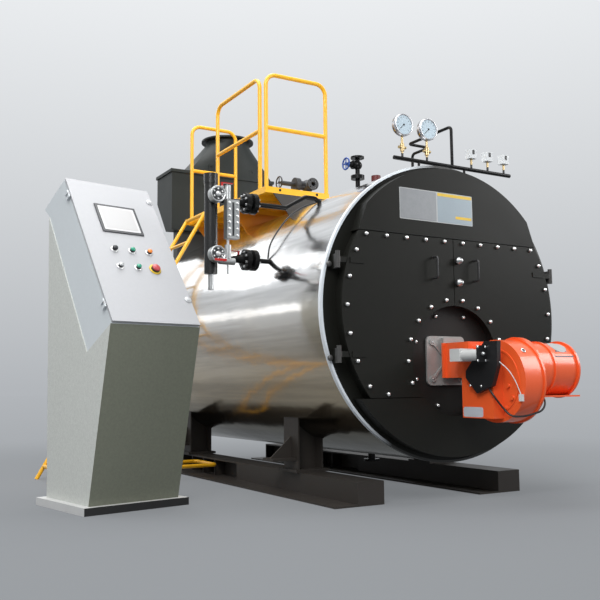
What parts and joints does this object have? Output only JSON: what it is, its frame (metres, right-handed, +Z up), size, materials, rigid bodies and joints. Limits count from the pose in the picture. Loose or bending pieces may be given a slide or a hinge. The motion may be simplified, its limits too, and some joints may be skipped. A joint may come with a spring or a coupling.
{
  "type": "industrial boiler",
  "caption": "Horizontal fire-tube steam boiler with a burner, hinged smoke box doors, flue gas condenser, service platform with a ladder, and a control desk.",
  "frame": {"origin": "on the floor below the centre of the whole set", "axes": "+Z up, the boiler lies along Y with its burner front at -Y, +X to the right seen from the front"},
  "size_m": [3.3898, 4.43, 3.308],
  "materials": {
    "cladding": "polished",
    "front_paint": "satin",
    "bright_trim": "brushed",
    "furnace_iron": "rough",
    "frame_grey": "satin",
    "platform_yellow": "gloss",
    "condenser_paint": "satin",
    "duct_paint": "satin",
    "pipe_black": "satin",
    "brass_fittings": "satin",
    "dial_case": "polished",
    "switch_case": "matte",
    "wheel_blue": "gloss",
    "lever_red": "gloss",
    "cap_red": "satin",
    "handle_black": "matte",
    "burner_grey": "cast",
    "burner_red": "gloss",
    "burner_black": "matte",
    "servo_white": "matte",
    "cast_silver": "cast",
    "valve_iron": "cast",
    "cable_black": "matte",
    "tube_white": "matte",
    "desk_grey": "textured",
    "desk_dark": "gloss"
  },
  "bodies": {
    "boiler": {"blowdown_nozzles": "pipe_black", "burner_cable": "cable_black", "burner_cover": "burner_black", "burner_flange": "burner_grey", "burner_housing": "burner_red", "burner_intake": "burner_red", "burner_plate": "furnace_iron", "burner_servo": "servo_white", "column_pipes": "pipe_black", "condenser_box": "condenser_paint", "condenser_hood": "condenser_paint", "crown_cap": "cap_red", "desk_head": "desk_grey", "desk_pedestal": "desk_grey", "desk_plinth": "frame_grey", "feed_pipe": "pipe_black", "flue_duct": "duct_paint", "front_legs": "frame_grey", "front_plate": "front_paint", "front_rail": "platform_yellow", "front_trim_ring": "bright_trim", "furnace_mouth": "furnace_iron", "gauge_cocks": "cast_silver", "gauge_manifold": "pipe_black", "ladder": "platform_yellow", "left_skid": "frame_grey", "level_gauge": "cast_silver", "lower_front_panel": "front_paint", "manifold_stems": "brass_fittings", "platform_brackets": "frame_grey", "platform_deck": "platform_yellow", "pressure_dials": "dial_case", "pressure_switches": "switch_case", "rear_end": "cladding", "rear_legs": "frame_grey", "rear_rail": "platform_yellow", "right_skid": "frame_grey", "sensing_tube": "tube_white", "shell_cable": "cable_black", "shell_cladding": "cladding", "side_rail": "platform_yellow", "smoke_box": "frame_grey", "steam_valve": "valve_iron", "tube_sheet": "furnace_iron", "upper_front_panel": "front_paint", "vent_valve": "pipe_black", "water_column": "pipe_black"},
    "left_door": {"left_door": "front_paint", "left_door_handle": "handle_black"},
    "right_door": {"right_door": "front_paint", "right_door_handle": "handle_black"},
    "desk_door": {"desk_door": "desk_grey", "desk_controls": "desk_dark"},
    "vent_handwheel": {"vent_handwheel": "wheel_blue"},
    "steam_handwheel": {"steam_handwheel": "valve_iron"},
    "upper_cock_lever": {"upper_cock_lever": "lever_red"},
    "lower_cock_lever": {"lower_cock_lever": "lever_red"},
    "lower_valve_lever": {"lower_valve_lever": "lever_red"}
  },
  "joints": [
    {"name": "left_door_hinge", "type": "hinge", "parent": "boiler", "child": "left_door", "pos_m": [-0.23508, -1.582, 1.25], "axis": [0, 0, -1], "range_deg": [0, 110]},
    {"name": "right_door_hinge", "type": "hinge", "parent": "boiler", "child": "right_door", "pos_m": [1.61292, -1.582, 1.25], "axis": [0, 0, 1], "range_deg": [0, 15]},
    {"name": "desk_door_hinge", "type": "hinge", "parent": "boiler", "child": "desk_door", "pos_m": [-1.49172, -1.04477, 1.14741], "axis": [0.0989, -0.561, -0.8219], "range_deg": [0, 100]},
    {"name": "vent_wheel_turn", "type": "hinge", "parent": "boiler", "child": "vent_handwheel", "pos_m": [0.29692, -0.897, 2.375], "axis": [-1, 0, 0], "range_deg": [0, 1080]},
    {"name": "steam_wheel_turn", "type": "hinge", "parent": "boiler", "child": "steam_handwheel", "pos_m": [0.45692, 0.403, 2.545], "axis": [-1, 0, 0], "range_deg": [0, 1080]},
    {"name": "upper_cock_turn", "type": "hinge", "parent": "boiler", "child": "upper_cock_lever", "pos_m": [-0.65108, -0.794, 2.1203], "axis": [0, 0, -1], "range_deg": [0, 90]},
    {"name": "lower_cock_turn", "type": "hinge", "parent": "boiler", "child": "lower_cock_lever", "pos_m": [-0.65408, -0.8313, 1.602], "axis": [0, -1, 0], "range_deg": [0, 90]},
    {"name": "lower_valve_turn", "type": "hinge", "parent": "boiler", "child": "lower_valve_lever", "pos_m": [-0.48108, -0.697, 1.6723], "axis": [0, 0, 1], "range_deg": [0, 90]}
  ]
}
